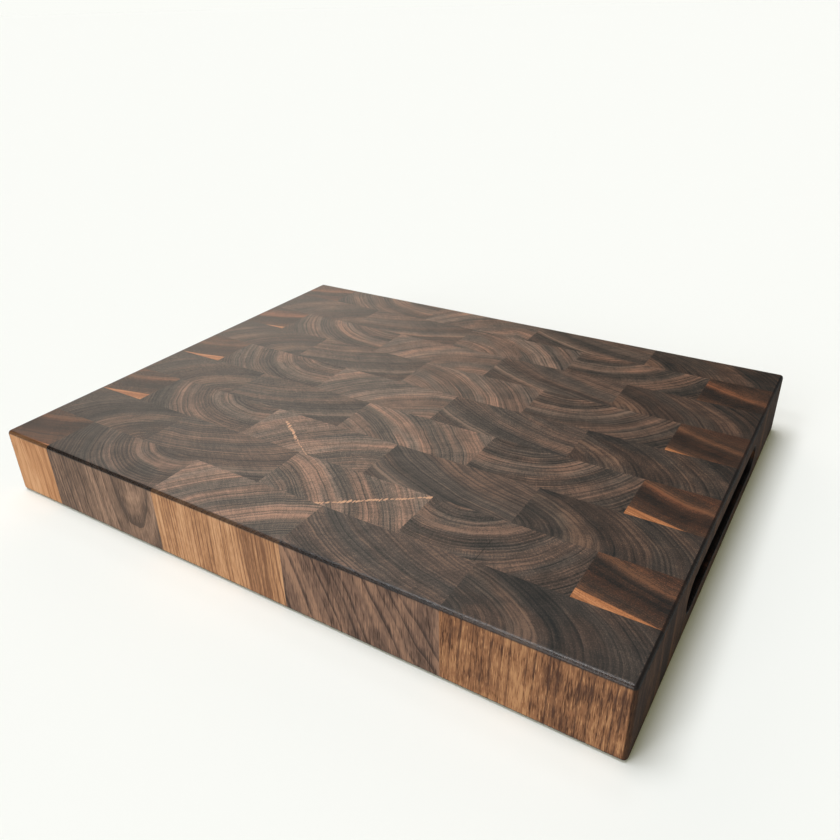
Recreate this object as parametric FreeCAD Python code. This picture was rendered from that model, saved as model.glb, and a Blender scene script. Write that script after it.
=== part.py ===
import FreeCAD, Part
import os
from FreeCAD import Vector

# End-grain walnut cutting board, in millimetres.
# The board is nine strips glued side by side along Y, and each strip is five blocks glued end to
# end along X. All strips are slices of one slab of five planks, and every second strip is flipped
# over end for end, so the block joints of neighbouring strips are staggered.
# Frame: origin at the middle of the underside, +X along the length, +Y to the back, +Z up.

# The finished board
board_length = 508.0
board_width = 405.0
board_height = 55.0
edge_radius = 3.0

# The slab that the strips are sliced from
plank_width = 115.5
strip_width = 45.75
strip_count = 9
blocks_per_strip = 5

# The board is trimmed square after the glue-up, so the outer strips and blocks are narrower
front_strip_width = 44.5
left_block_width = 50.0
right_block_width_flipped = 53.3

# One finger groove in each end, cut with a round-nosed cutter
groove_height = 25.4
groove_length = 200.0
groove_centre_height = board_height / 2
groove_lip_radius = 1.0

# Clearance for picking out the lip edges of a groove by position
position_tolerance = 0.01


def strip_edges():
    """Y positions of the joints between strips, from the front face to the back face."""
    front = -board_width / 2
    edges = [front]
    for joint in range(strip_count - 1):
        edges.append(front + front_strip_width + joint * strip_width)
    edges.append(board_width / 2)
    return edges


def block_edges(flipped):
    """X positions of the joints between the blocks of one strip, from left to right."""
    left = -board_length / 2
    right = board_length / 2
    joints = blocks_per_strip - 1
    if flipped:
        inner = [right - right_block_width_flipped - joint * plank_width for joint in range(joints)]
        inner.reverse()
    else:
        inner = [left + left_block_width + joint * plank_width for joint in range(joints)]
    return [left] + inner + [right]


def rounded_board():
    """The whole outline with every edge and corner rounded over."""
    corner = Vector(-board_length / 2, -board_width / 2, 0)
    board = Part.makeBox(board_length, board_width, board_height, corner)
    return board.makeFillet(edge_radius, board.Edges)


def groove_cutter(end_x):
    """The swept shape of the round-nosed cutter along one end face."""
    radius = groove_height / 2
    half_travel = groove_length / 2 - radius
    start = Vector(end_x, -half_travel, groove_centre_height)
    finish = Vector(end_x, half_travel, groove_centre_height)
    sweep = Part.makeCylinder(radius, 2 * half_travel, start, Vector(0, 1, 0))
    return sweep.fuse([Part.makeSphere(radius, start), Part.makeSphere(radius, finish)])


def is_groove_lip(edge, end_x):
    """True for an edge of the groove's outline, where it opens in the end face."""
    box = edge.BoundBox
    in_end_face = abs(box.XMin - end_x) < position_tolerance and abs(box.XMax - end_x) < position_tolerance
    reach_y = groove_length / 2 + position_tolerance
    reach_z = groove_height / 2 + position_tolerance
    inside_y = box.YMin > -reach_y and box.YMax < reach_y
    inside_z = box.ZMin > groove_centre_height - reach_z and box.ZMax < groove_centre_height + reach_z
    return in_end_face and inside_y and inside_z


def cut_groove(board, end_x):
    """Cut the groove in one end and ease its lip."""
    grooved = board.cut(groove_cutter(end_x)).removeSplitter()
    lip = [edge for edge in grooved.Edges if is_groove_lip(edge, end_x)]
    return grooved.makeFillet(groove_lip_radius, lip)


def finished_board():
    """The board as one outline, before it is divided into its blocks."""
    board = rounded_board()
    for end_x in (-board_length / 2, board_length / 2):
        board = cut_groove(board, end_x)
    return board


def block_from(board, left, right, front, back):
    """The part of the board between two block joints and two strip joints."""
    cell = Part.makeBox(right - left, back - front, board_height, Vector(left, front, 0))
    solids = board.common(cell).Solids
    if len(solids) != 1:
        raise ValueError("a block has to be one solid")
    return solids[0]


def make_blocks():
    """Every block of the board by name: strip 1 is at the front and block 1 at the left end."""
    board = finished_board()
    y_edges = strip_edges()
    blocks = {}
    for strip in range(strip_count):
        flipped = strip % 2 == 1
        x_edges = block_edges(flipped)
        for block in range(blocks_per_strip):
            name = f"strip_{strip + 1}_block_{block + 1}"
            blocks[name] = block_from(
                board, x_edges[block], x_edges[block + 1], y_edges[strip], y_edges[strip + 1]
            )
    return blocks


def export_blocks(blocks):
    """Write one STEP file for each block."""
    os.makedirs("parts", exist_ok=True)
    for name, solid in blocks.items():
        if not solid.isValid() or not solid.isClosed():
            raise ValueError(name + " is not a closed valid solid")
        solid.exportStep(f"parts/{name}.step")


export_blocks(make_blocks())
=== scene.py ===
"""Looks of the end-grain walnut cutting board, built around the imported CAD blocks."""
from dataclasses import dataclass
import math
import bpy
from mathutils import Matrix, Vector


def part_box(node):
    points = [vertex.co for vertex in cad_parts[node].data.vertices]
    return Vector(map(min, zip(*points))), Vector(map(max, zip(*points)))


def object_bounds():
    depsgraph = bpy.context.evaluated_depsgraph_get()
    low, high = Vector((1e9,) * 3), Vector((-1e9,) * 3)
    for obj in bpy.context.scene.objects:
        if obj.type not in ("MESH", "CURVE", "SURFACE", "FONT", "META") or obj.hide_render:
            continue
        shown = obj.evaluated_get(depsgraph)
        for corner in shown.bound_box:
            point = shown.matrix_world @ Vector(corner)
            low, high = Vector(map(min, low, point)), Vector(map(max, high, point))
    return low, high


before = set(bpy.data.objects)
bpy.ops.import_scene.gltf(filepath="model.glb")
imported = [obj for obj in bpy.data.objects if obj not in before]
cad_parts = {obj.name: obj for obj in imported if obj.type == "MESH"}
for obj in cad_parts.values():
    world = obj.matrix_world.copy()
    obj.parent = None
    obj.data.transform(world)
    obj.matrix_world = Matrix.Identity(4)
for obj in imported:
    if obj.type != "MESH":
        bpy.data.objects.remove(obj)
cad_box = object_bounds()

MM = 1000.0  # millimetres in a metre

# The board, in millimetres
STRIPS = 9
BLOCKS = 5
BOARD_HEIGHT = cad_box[1].z * MM
HALF_LENGTH = cad_box[1].x * MM

# The slab that the strips are sliced from, in millimetres. u runs across the planks, v through the
# slab's thickness and w along the grain.
PLANK_WIDTH = 115.5
STRIP_WIDTH = 45.75
SAW_KERF = 3.0
SLICE_PITCH = BOARD_HEIGHT + SAW_KERF
BASE_SLICE = 4  # pith, drift and tint are given for this strip

# Sizes of the wood's textures in millimetres. Streaks, rays and stain are measured across the rings,
# along them and down the grain, and the others along u, v and w. Streaks and patches run down the
# grain as far as the plank's grain says.
STREAK_SIZE = (1.1, 45)
RAY_SIZE = (8, 0.7, 5)
STAIN_SIZE = (13, 50, 150)
PATCH_SIZE = (14, 14)
WANDER_SIZE = (30, 30, 90)
PORE_WIDTH = 0.5
SHORTEST_PORE = 5
GRAIN_FOR_LONGER_PORE = 18  # a pore is a millimetre longer for each 18 mm of the plank's grain
WANDER = 5  # how far the rings stray from their formula
ARC_RADIUS = 60.0  # the radius at which distances round the pith are measured
WANDER_OFFSET = 9  # times the ring spacing, so that each plank's rings stray in their own way

# The wood's tone runs from 0 for dark to 1 for bright. This much is added to the tone of its band.
BASE_TONE = 0.20
TONE_STOPS = (0.0, 0.6, 1.0)  # the tones of a plank's dark, light and brightest colours

# How strongly the textures change the tone. These four are multiplied by the plank's figure.
STREAK_CONTRAST = 1.9
RAY_CONTRAST = 0.7
END_LINE_TONE = -0.55
SIDE_LINE_TONE = -0.95
# These are the same for every plank.
PATCH_CONTRAST = 0.5
STAIN_CONTRAST = 0.6
END_PORE_TONE = -0.20
# The end grain's bright flecks are painted glints, small highlights off its pores
END_PAINTED_GLINT_TONE = 0.45
# These are weaker on the sides of planks with more figure. Mottle would vanish at a figure of 1,
# and pores and flecks at the figure named here.
SIDE_MOTTLE = 2.0
SIDE_PORE_TONE = -0.62
SIDE_FLECK_TONE = 0.70
PORELESS_FIGURE = 1.2

# The noise value that leaves a tone as it is, and the values at which something starts to show and
# shows fully
NOISE_MIDDLE = 0.5
PORE_STEP = (0.47, 0.33)
FLECK_AND_GLINT_STEP = (0.60, 0.70)
STAIN_STEP = (0.38, 0.62)
RING_STRENGTH_STEP = (0.25, 0.65)

# Where in a ring its dark line starts and where it is full, on the end grain and on the sides
END_LINE = (0.30, 0.95)
SIDE_LINE = (0.55, 0.98)
RING_STRENGTH_SCALE = 0.73  # how quickly the lines' strength changes from ring to ring
RING_PACE_SCALE = 0.05
RING_UNEVENNESS = 4.0  # how many rings closer or wider spacing can gain or lose
BAND_REACH = 160.0  # the largest radius that a band can have

# The end grain is a neutral black in some places and a warm brown in others
STAIN_TINTS = ((0.92, 0.99, 1.01, 1), (1.11, 1.01, 0.95, 1))

# Painted shade on the sawn ends and in the finger grooves: how bright they are against the same wood
# elsewhere
SAWN_END_PAINTED_SHADE = 0.25
GROOVE_PAINTED_SHADE = 0.16

# The grooves lie in these strips. Their painted shade starts just inside the end face and is full a
# few millimetres further in. It reaches this far above and below the board's middle, and then fades.
GROOVE_STRIPS = range(3, 8)
GROOVE_START_DEPTH = 0.3
GROOVE_FULL_DEPTH = 4.0
GROOVE_REACH = 14.5
GROOVE_FADED = 16.0

# How far a face has to be turned, as a part of its normal, to be end grain, a rounded edge against
# a flat face, or a sawn end
END_GRAIN_STEP = (0.05, 0.4)
EDGE_STEP = (0.99, 0.93)
SAWN_END_STEP = (0.05, 0.3)

# Roughness of the oiled faces, and how much rougher the sawn ends, the grooves and the pores are
SIDE_ROUGHNESS = 0.75
EDGE_ROUGHNESS = 0.22
TOP_ROUGHNESS = 0.37
SAWN_END_ROUGHENING = 0.4
GROOVE_ROUGHENING = 0.5
PORE_ROUGHENING = 0.2
PORE_RELIEF = -0.6  # how far pores sink in the bump, against the relief of the tones

# Pale sapwood on plank 1, in a wedge in some strips: the u of its tip, and how far it reaches up the
# v direction at the plank's edge
SAPWOOD_PLANK = 1
SAPWOOD_WEDGE = {
    1: (5, 4.5), 2: (63.5, 8.6), 3: (67, 10.5), 4: (76, 9), 5: (71, 8.6), 6: (96, 4), 7: (93, 4.5),
}
SAPWOOD_WAVE_SIZE = (25, 25, 60)
SAPWOOD_WAVE = 1.4
SAPWOOD_BORDER = 0.4
SAPWOOD_STREAK = 2.8
SAPWOOD_PORE = -0.5
SAPWOOD_TONE = -0.80
SAPWOOD_END = [(0.22, 0.085, 0.033), (0.43, 0.17, 0.067), (0.60, 0.28, 0.125)]
SAPWOOD_SIDE = [(0.36, 0.16, 0.065), (0.56, 0.28, 0.125), (0.66, 0.38, 0.20)]

# A thin beaded pale line that slants across plank 3 in two strips, and the u where it starts
PALE_STREAK_PLANK = 3
PALE_STREAK_START = {2: -5, 3: 16}
PALE_STREAK_COLOUR = (0.60, 0.34, 0.20, 1)
PALE_STREAK_SLOPE = 0.70
PALE_STREAK_HEIGHT = 48.0
PALE_STREAK_WAVE = 6.0
PALE_STREAK_WAVE_SIZE = (12, 12, math.inf)
PALE_STREAK_SWELL_SIZE = (13, math.inf, 20)
PALE_STREAK_SWELL_STEP = (0.20, 0.62)
PALE_STREAK_BEAD_SCALE = 0.6
PALE_STREAK_BEAD_STEP = (0.3, 0.65)
PALE_STREAK_WIDTH = 2.0
PALE_STREAK_BORDER = (0.2, -0.4)
PALE_STREAK_TAPER = 4

# A hairline drying check that runs in from the front of one block: the u where it lies, its length,
# the length of its tip, and how far to each side it is dark and has faded out
CHECKED_STRIP = 2
CHECKED_PLANK = 2
CHECK_PLACE = 60.5
CHECK_LENGTH = 27.0
CHECK_TAPER = 4
CHECK_HALF_WIDTH = 0.1
CHECK_FADED = 0.3
CHECK_COLOUR = (0.004, 0.003, 0.002, 1)

# The floor, in metres, ends not far to the right of the board and runs far out on its other sides
FLOOR_REACH = 40.0
FLOOR_RIGHT = 1.2
FLOOR_COLOUR = (0.82, 0.84, 0.86, 1)
FLOOR_GLOW = 0.09
FLOOR_GLOW_COLOUR = (1.0, 0.93, 0.30, 1)

# The room around the board. Its bright wall lies at this azimuth, which turns from +Y towards -X.
# Sideways it starts and is full at these cosines of the angle from there, and downwards it starts
# and is full at these heights of a direction of length 1.
BACKDROP = (0.97, 0.98, 0.935, 1)
DIM_ROOM = (0.06, 0.06, 0.06, 1)
BRIGHT_WALL = (2.1, 1.85, 1.6, 1)
WALL_AZIMUTH = 47
WALL_SIDES = (0.91, 0.997)
WALL_TOP = (0.75, 0.35)

# The camera, in metres, degrees and, for its lens and sensor, millimetres. Its place, aim, roll and
# lens are rounded from a fit to the board's corners, edges and joints.
CAMERA_PLACE = Vector((0.3060, -0.4772, 0.3479))
CAMERA_AIM = Vector((-0.0055, 0.0169, 0.0275))
CAMERA_ROLL = -1.195
CAMERA_LENS = 32.884
CAMERA_SENSOR = 36
CAMERA_CLIP_END = 200


@dataclass
class Plank:
    """The rings and colours of one plank, in slab millimetres."""

    pith: tuple  # u and v of the rings' centre in the base slice
    drift: tuple  # how far the pith moves from each slice to the next
    stretch: float  # what a millimetre across the plank counts for; below 1 the rings are wider
    power: float  # 2 makes the rings round, less bends them towards diamonds and more to squares
    spacing: float  # from one ring line to the next
    lean: float  # how far a ring slants for each millimetre down a block
    figure: float  # how strong the fine lines are
    grain: float  # how long the streaks run down a block
    edge: float  # how bright the rounded edges are against the sides
    bands: list  # radii, and how light the wood is at each, from 0 to 1
    shift: dict  # how much further out the bands lie in some of the strips
    end: list  # dark, light and brightest colour of the end grain
    side: list  # dark, light and brightest colour of the sides
    tint: tuple = (0.020, 0.006, -0.006)  # how the end grain's red, green and blue change by slice

    def centre(self, strip):
        """u and v of the rings' centre in a strip."""
        slices = strip - BASE_SLICE
        return self.pith[0] + self.drift[0] * slices, self.pith[1] + self.drift[1] * slices


# Pith, drift, stretch and power are rounded from a fit to the board's ring pattern. Bands and shifts
# were read off a plot of its tone against the radius, and then changed.
PLANKS = [
    Plank(
        pith=(18, 94), drift=(-0.2, -2.1), stretch=0.52, power=1.83, spacing=1.4, lean=0.01,
        figure=0.42, grain=160, edge=0.27,
        bands=[(50, 0.20), (58, 0.28), (66, 0.36), (70, 0.54), (75, 0.80), (77, 0.52), (80, 0.14),
               (87, 0.04), (92, 0.13), (95, 0.38), (98, 0.46), (101, 0.70)],
        shift={},
        end=[(0.008, 0.008, 0.007), (0.062, 0.032, 0.020), (0.20, 0.082, 0.040)],
        side=[(0.08, 0.035, 0.018), (0.30, 0.13, 0.055), (0.50, 0.22, 0.09)],
    ),
    Plank(
        pith=(97.6, 77.6), drift=(1.75, 2.54), stretch=1.0, power=2.1, spacing=3.1, lean=0.06,
        figure=0.7, grain=80, edge=0.10,
        bands=[(31, 0.14), (37, 0.16), (41, 0.46), (46, 0.40), (50, 0.22), (54, 0.22), (59, 0.62),
               (63, 0.50), (68, 0.62), (73, 0.42), (77, 0.20), (82, 0.22), (87, 0.40), (96, 0.36),
               (104, 0.44), (108, 0.28), (116, 0.13), (140, 0.10)],
        shift={1: -24, 2: -17, 3: -14, 5: 1, 6: 2, 7: 4, 8: 4, 9: 5},
        end=[(0.013, 0.013, 0.011), (0.092, 0.065, 0.050), (0.26, 0.160, 0.110)],
        side=[(0.09, 0.058, 0.041), (0.25, 0.152, 0.10), (0.40, 0.25, 0.165)],
    ),
    Plank(
        pith=(129, -41), drift=(-6, 3.1), stretch=0.89, power=1.7, spacing=2.5, lean=0.02,
        figure=0.7, grain=160, edge=0.15,
        bands=[(35, 0.42), (50, 0.37), (60, 0.38), (68, 0.27), (78, 0.22), (82, 0.54), (87, 0.58),
               (91, 0.47), (97, 0.63), (100, 0.38), (104, 0.26), (114, 0.34), (125, 0.37),
               (138, 0.47), (150, 0.56)],
        shift={1: 4, 2: 6, 3: 1, 5: -5, 7: -7, 8: -4, 9: -4},
        end=[(0.030, 0.028, 0.024), (0.150, 0.104, 0.078), (0.37, 0.225, 0.155)],
        side=[(0.20, 0.09, 0.042), (0.47, 0.235, 0.108), (0.62, 0.35, 0.18)],
        tint=(-0.008, -0.014, -0.019),
    ),
    Plank(
        pith=(183, 119), drift=(0.66, 1.5), stretch=0.57, power=2.3, spacing=2.3, lean=0.11,
        figure=0.62, grain=90, edge=0.10,
        bands=[(80, 0.42), (92, 0.34), (102, 0.44), (110, 0.38), (118, 0.50), (122, 0.32),
               (126, 0.16), (131, 0.36), (134, 0.45), (138, 0.90), (140, 0.45), (142, 0.20),
               (155, 0.24)],
        shift={1: 8, 2: 1, 3: 2, 4: -1},
        end=[(0.016, 0.016, 0.0145), (0.084, 0.061, 0.048), (0.23, 0.145, 0.100)],
        side=[(0.050, 0.028, 0.020), (0.190, 0.107, 0.070), (0.32, 0.18, 0.110)],
    ),
    Plank(
        pith=(-28.7, -4.4), drift=(-5.8, -1.7), stretch=0.59, power=1.7, spacing=2.6, lean=0.02,
        figure=0.53, grain=22, edge=0.10,
        bands=[(8, 0.43), (16, 0.40), (20, 0.50), (24, 0.27), (28, 0.42), (32, 0.28), (37, 0.60),
               (41, 0.52), (46, 0.58), (50, 0.32), (54, 0.12), (60, 0.22), (66, 0.32), (73, 0.50),
               (80, 0.34), (88, 0.42), (96, 0.14), (110, 0.10)],
        shift={1: -6, 2: -2, 3: -1, 4: -2, 7: -2},
        end=[(0.009, 0.010, 0.009), (0.058, 0.041, 0.032), (0.18, 0.115, 0.078)],
        side=[(0.075, 0.030, 0.014), (0.275, 0.120, 0.050), (0.47, 0.24, 0.105)],
    ),
]


class Tree:
    """Short calls that add linked nodes to one node tree."""

    def __init__(self, node_tree):
        self.nodes = node_tree.nodes
        self.links = node_tree.links
        self.nodes.clear()

    def put(self, socket, value):
        """Link a socket to another, or set its own value."""
        if isinstance(value, bpy.types.NodeSocket):
            self.links.new(value, socket)
        else:
            socket.default_value = value

    def node(self, kind, inputs, **settings):
        """Add a node with its settings, and its inputs by name or number."""
        made = self.nodes.new(kind)
        for name, value in settings.items():
            setattr(made, name, value)
        for key, value in inputs.items():
            self.put(made.inputs[key], value)
        return made

    def math(self, operation, *values, clamp=False):
        """A Math node on numbers or sockets."""
        inputs = dict(enumerate(values))
        return self.node("ShaderNodeMath", inputs, operation=operation, use_clamp=clamp).outputs[0]

    def add(self, base, *parts):
        """The base plus each value times its weight, from (value, weight) parts."""
        for value, weight in parts:
            base = self.math("MULTIPLY_ADD", value, weight, base)
        return base

    def vector(self, operation, *values):
        """A Vector Math node on vectors or sockets."""
        inputs = dict(enumerate(values))
        made = self.node("ShaderNodeVectorMath", inputs, operation=operation)
        return made.outputs["Value" if operation == "DOT_PRODUCT" else "Vector"]

    def scale(self, vector, factor):
        """A vector or colour times a number."""
        inputs = {"Vector": vector, "Scale": factor}
        return self.node("ShaderNodeVectorMath", inputs, operation="SCALE").outputs["Vector"]

    def split(self, vector):
        """The outputs X, Y and Z that hold a vector's parts."""
        return self.node("ShaderNodeSeparateXYZ", {"Vector": vector}).outputs

    def noise(self, point, size, detail=2.0, roughness=0.5, offset=0.0, output="Fac"):
        """Noise with lumps of the given size along X, Y and Z."""
        place = self.vector("MULTIPLY_ADD", point, [1 / length for length in size], (offset, 0, 0))
        inputs = {"Vector": place, "Scale": 1.0, "Detail": detail, "Roughness": roughness}
        return self.node("ShaderNodeTexNoise", inputs).outputs[output]

    def noise_line(self, position, scale):
        """Noise along one number, with a higher scale for shorter lumps."""
        inputs = {"W": position, "Scale": scale, "Detail": 1.0}
        return self.node("ShaderNodeTexNoise", inputs, noise_dimensions="1D").outputs["Fac"]

    def step(self, value, start, full):
        """A smooth climb from 0 at the start to 1 where it is full."""
        inputs = {"Value": value, "From Min": start, "From Max": full}
        made = self.node("ShaderNodeMapRange", inputs, interpolation_type="SMOOTHSTEP")
        return made.outputs["Result"]

    def mix(self, share, first, second):
        """The first colour where share is 0 and the second where it is 1."""
        made = self.nodes.new("ShaderNodeMix")
        made.data_type = "RGBA"
        # A Mix node has its number and vector sockets in front of these colour ones
        self.put(made.inputs[0], share)
        self.put(made.inputs[6], first)
        self.put(made.inputs[7], second)
        return made.outputs[2]

    def ramp(self, value, stops):
        """A ColorRamp with (position, colour) stops, colour as three numbers or a grey."""
        made = self.node("ShaderNodeValToRGB", {"Fac": value})
        elements = made.color_ramp.elements
        while len(elements) < len(stops):
            elements.new(0.5)
        for element, (position, colour) in zip(elements, stops):
            element.position = position
            rgb = colour if isinstance(colour, tuple) else (colour,) * 3
            element.color = (*rgb, 1.0)
        return made.outputs["Color"]

    def object_place(self):
        """The place in the row frame, in metres."""
        return self.node("ShaderNodeTexCoord", {}).outputs["Object"]

    def darken(self, colour, share, brightness):
        """The colour as it is where share is 0, and times the brightness where share is 1."""
        return self.scale(colour, self.add(1.0, (share, brightness - 1)))


def new_material(name):
    material = bpy.data.materials.new(name)
    material.use_nodes = True
    return material


def slab_point(tree, strip, plank, low, high):
    """Slab coordinates u, v, w in millimetres, from the block's place in the row frame.

    Plank 1 is trimmed at its outer end and strip 1 at the front, so they are measured from the
    joint on their other side.
    """
    turned = strip % 2 == 0
    along = -MM if turned else MM
    if plank == 1:
        start = low.x * MM + PLANK_WIDTH if turned else high.x * MM - PLANK_WIDTH
    else:
        start = high.x * MM if turned else low.x * MM
    front = high.y * MM - STRIP_WIDTH if strip == 1 else low.y * MM
    scale = (along, MM, along)
    shift = (start if turned else -start, -front, strip * SLICE_PITCH)
    return tree.vector("MULTIPLY_ADD", tree.object_place(), scale, shift)


def depth_below_top(tree, strip, point):
    """How far down the block a point is, in millimetres."""
    along = tree.split(point)["Z"]
    if strip % 2:
        return tree.math("SUBTRACT", strip * SLICE_PITCH + BOARD_HEIGHT, along)
    return tree.math("SUBTRACT", along, strip * SLICE_PITCH - BOARD_HEIGHT)


def ring_place(tree, look, strip, point):
    """Radius from the pith and the distance round it, both in millimetres."""
    offset = look.spacing * WANDER_OFFSET
    lumps = tree.noise(point, WANDER_SIZE, offset=offset, output="Color")
    wander = tree.vector("SUBTRACT", lumps, (NOISE_MIDDLE,) * 3)
    warped = tree.vector("MULTIPLY_ADD", wander, (WANDER, WANDER, 0), point)
    arm = tree.vector("SUBTRACT", warped, (*look.centre(strip), 0))
    parts = tree.split(tree.vector("MULTIPLY", arm, (look.stretch, 1, 0)))
    across, through = parts["X"], parts["Y"]
    powers = [
        tree.math("POWER", tree.math("ABSOLUTE", part), look.power)
        for part in (across, through)
    ]
    radius = tree.math("POWER", tree.math("ADD", *powers), 1 / look.power)
    below = depth_below_top(tree, strip, point)
    grown = tree.add(-look.shift.get(strip, 0), (below, look.lean))
    around = tree.math("MULTIPLY", tree.math("ARCTAN2", through, across), ARC_RADIUS)
    return tree.math("ADD", radius, grown), around


def ring_lines(tree, look, radius):
    """The dark late-wood lines on the end grain, and the thinner ones on the sides."""
    pace = tree.noise_line(radius, RING_PACE_SCALE)
    phase = tree.add(tree.math("DIVIDE", radius, look.spacing), (pace, RING_UNEVENNESS))
    growth = tree.math("FRACT", phase)
    each_ring = tree.noise_line(tree.math("FLOOR", phase), RING_STRENGTH_SCALE)
    strength = tree.step(each_ring, *RING_STRENGTH_STEP)
    return [
        tree.math("MULTIPLY", tree.step(growth, *line), strength)
        for line in (END_LINE, SIDE_LINE)
    ]


def wood_tones(tree, look, point, radius, around):
    """How light the end grain and the sides are, then the pores, streaks and stain on their own."""
    stops = [(reach / BAND_REACH, tone) for reach, tone in look.bands]
    band = tree.ramp(tree.math("DIVIDE", radius, BAND_REACH), stops)
    height = tree.split(point)["Z"]
    polar = tree.node("ShaderNodeCombineXYZ", {"X": radius, "Y": around, "Z": height}).outputs[0]
    streak = tree.noise(polar, (*STREAK_SIZE, look.grain), detail=3.0, roughness=0.65)
    ray = tree.noise(polar, RAY_SIZE, detail=1.0)
    patch = tree.noise(point, (*PATCH_SIZE, look.grain))
    stain = tree.noise(polar, STAIN_SIZE)
    tone = tree.math("ADD", band, BASE_TONE)
    textures = (
        (streak, STREAK_CONTRAST * look.figure),
        (ray, RAY_CONTRAST * look.figure),
        (patch, PATCH_CONTRAST),
        (stain, STAIN_CONTRAST),
    )
    for texture, contrast in textures:
        tone = tree.add(tone, (tree.math("SUBTRACT", texture, NOISE_MIDDLE), contrast))

    pore_size = (PORE_WIDTH, PORE_WIDTH, SHORTEST_PORE + look.grain / GRAIN_FOR_LONGER_PORE)
    fibre = tree.noise(point, pore_size, detail=1.0)
    # The flecks are painted glints on the end grain and lighter specks on the sides
    pore, fleck_and_glint = tree.step(fibre, *PORE_STEP), tree.step(fibre, *FLECK_AND_GLINT_STEP)
    end_line, side_line = ring_lines(tree, look, radius)
    end_tone = tree.add(
        tone,
        (end_line, END_LINE_TONE * look.figure),
        (pore, END_PORE_TONE),
        (fleck_and_glint, END_PAINTED_GLINT_TONE),
    )
    plainness = PORELESS_FIGURE - look.figure
    side_tone = tree.add(
        tone,
        (tree.math("SUBTRACT", patch, NOISE_MIDDLE), SIDE_MOTTLE * (1.0 - look.figure)),
        (side_line, SIDE_LINE_TONE * look.figure),
        (pore, SIDE_PORE_TONE * plainness),
        (fleck_and_glint, SIDE_FLECK_TONE * plainness),
    )
    return end_tone, side_tone, pore, streak, stain


def wood_ramp(tree, tone, colours):
    """Dark, light and brightest wood colours, for tones from 0 to 1."""
    return tree.ramp(tone, list(zip(TONE_STOPS, colours)))


def face_shares(tree):
    """How far a face is end grain, a rounded edge and a sawn end of the board, each from 0 to 1."""
    facing = tree.split(tree.node("ShaderNodeNewGeometry", {}).outputs["Normal"])
    flatness = tree.math("ABSOLUTE", facing["Z"])
    end_share = tree.step(flatness, *END_GRAIN_STEP)
    edge = tree.step(flatness, *EDGE_STEP)
    sawn = tree.step(tree.math("ABSOLUTE", facing["X"]), *SAWN_END_STEP)
    return end_share, edge, sawn


def groove_share(tree):
    """1 on the walls of a finger groove, which lie inside the board's end face, and 0 elsewhere."""
    place = tree.split(tree.scale(tree.object_place(), MM))
    reach = tree.math("ABSOLUTE", place["X"])
    inside = tree.step(reach, HALF_LENGTH - GROOVE_START_DEPTH, HALF_LENGTH - GROOVE_FULL_DEPTH)
    height = tree.math("ABSOLUTE", tree.math("SUBTRACT", place["Z"], BOARD_HEIGHT / 2))
    return tree.math("MULTIPLY", inside, tree.step(height, GROOVE_FADED, GROOVE_REACH))


def add_sapwood(tree, wedge, point, streak, pore, side, end):
    """The pale wood of plank 1, in a wedge along the front of the block."""
    tip, height = wedge
    place = tree.split(point)
    slope = height / (PLANK_WIDTH - tip)
    wave = tree.noise(point, SAPWOOD_WAVE_SIZE)
    line = tree.add(-slope * tip - SAPWOOD_WAVE / 2, (place["X"], slope), (wave, SAPWOOD_WAVE))
    above = tree.math("SUBTRACT", place["Y"], line)
    inside = tree.step(above, SAPWOOD_BORDER, -SAPWOOD_BORDER)
    tone = tree.add(SAPWOOD_TONE, (streak, SAPWOOD_STREAK), (pore, SAPWOOD_PORE))
    pale_side, pale_end = wood_ramp(tree, tone, SAPWOOD_SIDE), wood_ramp(tree, tone, SAPWOOD_END)
    return tree.mix(inside, side, pale_side), tree.mix(inside, end, pale_end)


def add_pale_streak(tree, start, point, colour):
    """The beaded pale line across plank 3, from u = start."""
    place = tree.split(point)
    wave = tree.noise(point, PALE_STREAK_WAVE_SIZE)
    height = tree.add(place["Y"], (place["X"], PALE_STREAK_SLOPE), (wave, PALE_STREAK_WAVE))
    away = tree.math("ABSOLUTE", tree.math("SUBTRACT", height, PALE_STREAK_HEIGHT))
    beads = tree.noise_line(place["X"], PALE_STREAK_BEAD_SCALE)
    swell = tree.noise(point, PALE_STREAK_SWELL_SIZE, detail=0.0)
    width = tree.math(
        "MULTIPLY",
        tree.step(beads, *PALE_STREAK_BEAD_STEP),
        tree.step(swell, *PALE_STREAK_SWELL_STEP),
    )
    begun = tree.step(place["X"], start, start + PALE_STREAK_TAPER)
    width = tree.math("MULTIPLY", width, begun)
    inside = tree.step(tree.add(away, (width, -PALE_STREAK_WIDTH)), *PALE_STREAK_BORDER)
    return tree.mix(inside, colour, PALE_STREAK_COLOUR)


def add_check(tree, point, colour):
    """The hairline drying check, from the front of its block."""
    place = tree.split(point)
    away = tree.math("ABSOLUTE", tree.math("SUBTRACT", place["X"], CHECK_PLACE))
    across = tree.step(away, CHECK_FADED, CHECK_HALF_WIDTH)
    along = tree.step(place["Y"], CHECK_LENGTH, CHECK_LENGTH - CHECK_TAPER)
    return tree.mix(tree.math("MULTIPLY", across, along), colour, CHECK_COLOUR)


def end_grain_colour(tree, look, strip, tone, stain):
    """The end grain's colour, with its change from slice to slice and its two stains."""
    colour = wood_ramp(tree, tone, look.end)
    slices = strip - BASE_SLICE
    colour = tree.vector("MULTIPLY", colour, [1 + slices * change for change in look.tint])
    return tree.vector("MULTIPLY", colour, tree.mix(tree.step(stain, *STAIN_STEP), *STAIN_TINTS))


def face_roughness(tree, end_share, edge, sawn):
    """Roughness of the sides, the flat faces, the rounded edges and the sawn ends."""
    flat = tree.math("SUBTRACT", 1.0, edge)
    rough = tree.add(
        SIDE_ROUGHNESS,
        (end_share, EDGE_ROUGHNESS - SIDE_ROUGHNESS),
        (flat, TOP_ROUGHNESS - EDGE_ROUGHNESS),
    )
    return tree.math("MULTIPLY_ADD", sawn, SAWN_END_ROUGHENING, rough, clamp=True)


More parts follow.
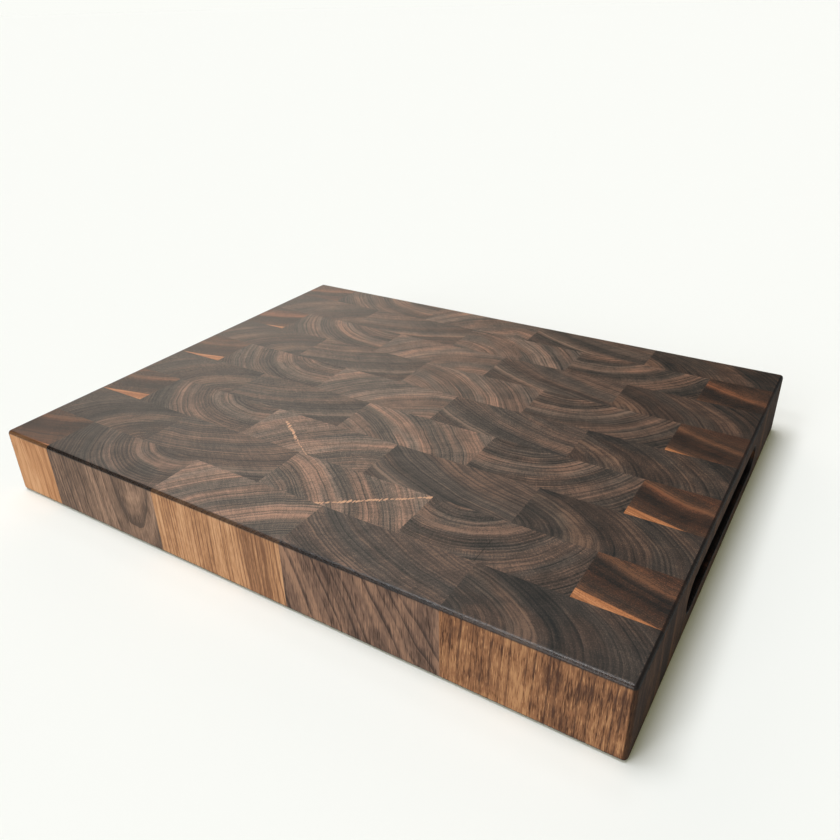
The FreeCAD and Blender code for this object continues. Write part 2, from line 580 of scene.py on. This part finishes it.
def oil_finish(tree, colour, rough, tone, pore):
    """The wood's shader, with the tones and sunken pores as a faint relief."""
    relief = tree.add(tone, (pore, PORE_RELIEF))
    bump = tree.node("ShaderNodeBump", {"Height": relief, "Strength": 0.2, "Distance": 0.0004})
    shader = tree.node("ShaderNodeBsdfPrincipled", {
        "Base Color": colour,
        "Roughness": tree.add(rough, (pore, PORE_ROUGHENING)),
        "Specular IOR Level": 0.35,
        "Normal": bump.outputs["Normal"],
    })
    tree.node("ShaderNodeOutputMaterial", {"Surface": shader.outputs[0]})


def walnut(strip, plank, low, high):
    """One block's material: rings about the plank's pith, pores, rays and an oiled finish."""
    look = PLANKS[plank - 1]
    material = new_material(f"walnut_{strip}_{plank}")
    tree = Tree(material.node_tree)
    point = slab_point(tree, strip, plank, low, high)
    radius, around = ring_place(tree, look, strip, point)
    end_tone, side_tone, pore, streak, stain = wood_tones(tree, look, point, radius, around)
    end_share, edge, sawn = face_shares(tree)

    side = wood_ramp(tree, side_tone, look.side)
    end = end_grain_colour(tree, look, strip, end_tone, stain)
    if plank == SAPWOOD_PLANK and strip in SAPWOOD_WEDGE:
        side, end = add_sapwood(tree, SAPWOOD_WEDGE[strip], point, streak, pore, side, end)
    # Painted shade on the sawn ends, which also darkens the rounded edges next to them
    side = tree.darken(side, sawn, SAWN_END_PAINTED_SHADE)
    end = tree.mix(edge, end, tree.scale(side, look.edge))
    colour = tree.mix(end_share, side, end)
    if plank == PALE_STREAK_PLANK and strip in PALE_STREAK_START:
        colour = add_pale_streak(tree, PALE_STREAK_START[strip], point, colour)
    if plank == CHECKED_PLANK and strip == CHECKED_STRIP:
        colour = add_check(tree, point, colour)

    rough = face_roughness(tree, end_share, edge, sawn)
    if plank in (1, BLOCKS) and strip in GROOVE_STRIPS:
        groove = groove_share(tree)
        # Painted shade inside the finger groove, whose walls are also rougher
        colour = tree.darken(colour, groove, GROOVE_PAINTED_SHADE)
        rough = tree.math("MULTIPLY_ADD", groove, GROOVE_ROUGHENING, rough, clamp=True)
    oil_finish(tree, colour, rough, end_tone, pore)
    return material


def finish_blocks():
    """Give every CAD block its own walnut. Turned strips hold the planks in reverse order."""
    for strip in range(1, STRIPS + 1):
        for block in range(1, BLOCKS + 1):
            name = f"strip_{strip}_block_{block}"
            plank = block if strip % 2 == 1 else BLOCKS + 1 - block
            low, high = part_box(name)
            material = walnut(strip, plank, low, high)
            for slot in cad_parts[name].material_slots:
                slot.material = material


def add_floor():
    """A plain pale table, with a faint warm glow that lifts its shadows."""
    mesh = bpy.data.meshes.new("floor")
    corners = [
        (-FLOOR_REACH, -FLOOR_REACH, 0),
        (FLOOR_RIGHT, -FLOOR_REACH, 0),
        (FLOOR_RIGHT, FLOOR_REACH, 0),
        (-FLOOR_REACH, FLOOR_REACH, 0),
    ]
    mesh.from_pydata(corners, [], [(0, 1, 2, 3)])
    floor = bpy.data.objects.new("floor", mesh)
    bpy.context.scene.collection.objects.link(floor)
    material = new_material("white_table")
    tree = Tree(material.node_tree)
    shader = tree.node("ShaderNodeBsdfPrincipled", {
        "Base Color": FLOOR_COLOUR,
        "Roughness": 0.8,
        "Specular IOR Level": 0.0,
        "Emission Color": FLOOR_GLOW_COLOUR,
        "Emission Strength": FLOOR_GLOW,
    })
    tree.node("ShaderNodeOutputMaterial", {"Surface": shader.outputs[0]})
    mesh.materials.append(material)


def add_lamp(name, azimuth, elevation, strength, spread):
    """A soft distant lamp. Azimuth turns from +Y towards -X, in degrees."""
    lamp = bpy.data.lights.new(name, "SUN")
    lamp.energy = strength
    lamp.angle = math.radians(spread)
    holder = bpy.data.objects.new(name, lamp)
    turn, rise = math.radians(azimuth), math.radians(elevation)
    towards_lamp = Vector((
        -math.sin(turn) * math.cos(rise),
        math.cos(turn) * math.cos(rise),
        math.sin(rise),
    ))
    holder.rotation_mode = "QUATERNION"
    holder.rotation_quaternion = towards_lamp.to_track_quat("Z", "Y")
    bpy.context.scene.collection.objects.link(holder)


def add_room():
    """A plain white backdrop, in a dim room with one bright wall at the back left."""
    world = bpy.data.worlds.new("studio")
    bpy.context.scene.world = world
    world.use_nodes = True
    tree = Tree(world.node_tree)
    direction = tree.node("ShaderNodeTexCoord", {}).outputs["Generated"]
    level = tree.vector("NORMALIZE", tree.vector("MULTIPLY", direction, (1, 1, 0)))
    turn = math.radians(WALL_AZIMUTH)
    facing = tree.vector("DOT_PRODUCT", level, (-math.sin(turn), math.cos(turn), 0))
    height = tree.split(direction)["Z"]
    wall = tree.math("MULTIPLY", tree.step(facing, *WALL_SIDES), tree.step(height, *WALL_TOP))
    room = tree.mix(wall, DIM_ROOM, BRIGHT_WALL)
    seen = tree.node("ShaderNodeLightPath", {}).outputs["Is Camera Ray"]
    background = tree.node("ShaderNodeBackground", {"Color": tree.mix(seen, room, BACKDROP)})
    tree.node("ShaderNodeOutputWorld", {"Surface": background.outputs[0]})


def add_light():
    """The room and its four lamps."""
    add_room()
    add_lamp("ceiling", azimuth=108, elevation=75, strength=2.2, spread=32)
    add_lamp("front_fill", azimuth=172, elevation=22, strength=1.2, spread=36)
    add_lamp("edge_light", azimuth=152, elevation=46, strength=0.36, spread=12)
    add_lamp("back_window", azimuth=20, elevation=66, strength=0.16, spread=12)


def add_camera():
    """The camera, to the front right of the board and above it."""
    camera = bpy.data.cameras.new("camera")
    camera.lens = CAMERA_LENS
    camera.sensor_width = CAMERA_SENSOR
    camera.clip_end = CAMERA_CLIP_END
    holder = bpy.data.objects.new("camera", camera)
    level = (CAMERA_AIM - CAMERA_PLACE).to_track_quat("-Z", "Y").to_matrix()
    roll = Matrix.Rotation(math.radians(CAMERA_ROLL), 3, "Z")
    holder.matrix_world = Matrix.Translation(CAMERA_PLACE) @ (level @ roll).to_4x4()
    bpy.context.scene.collection.objects.link(holder)
    bpy.context.scene.camera = holder


finish_blocks()
add_floor()
add_light()
add_camera()
bpy.context.scene.view_settings.view_transform = "Standard"
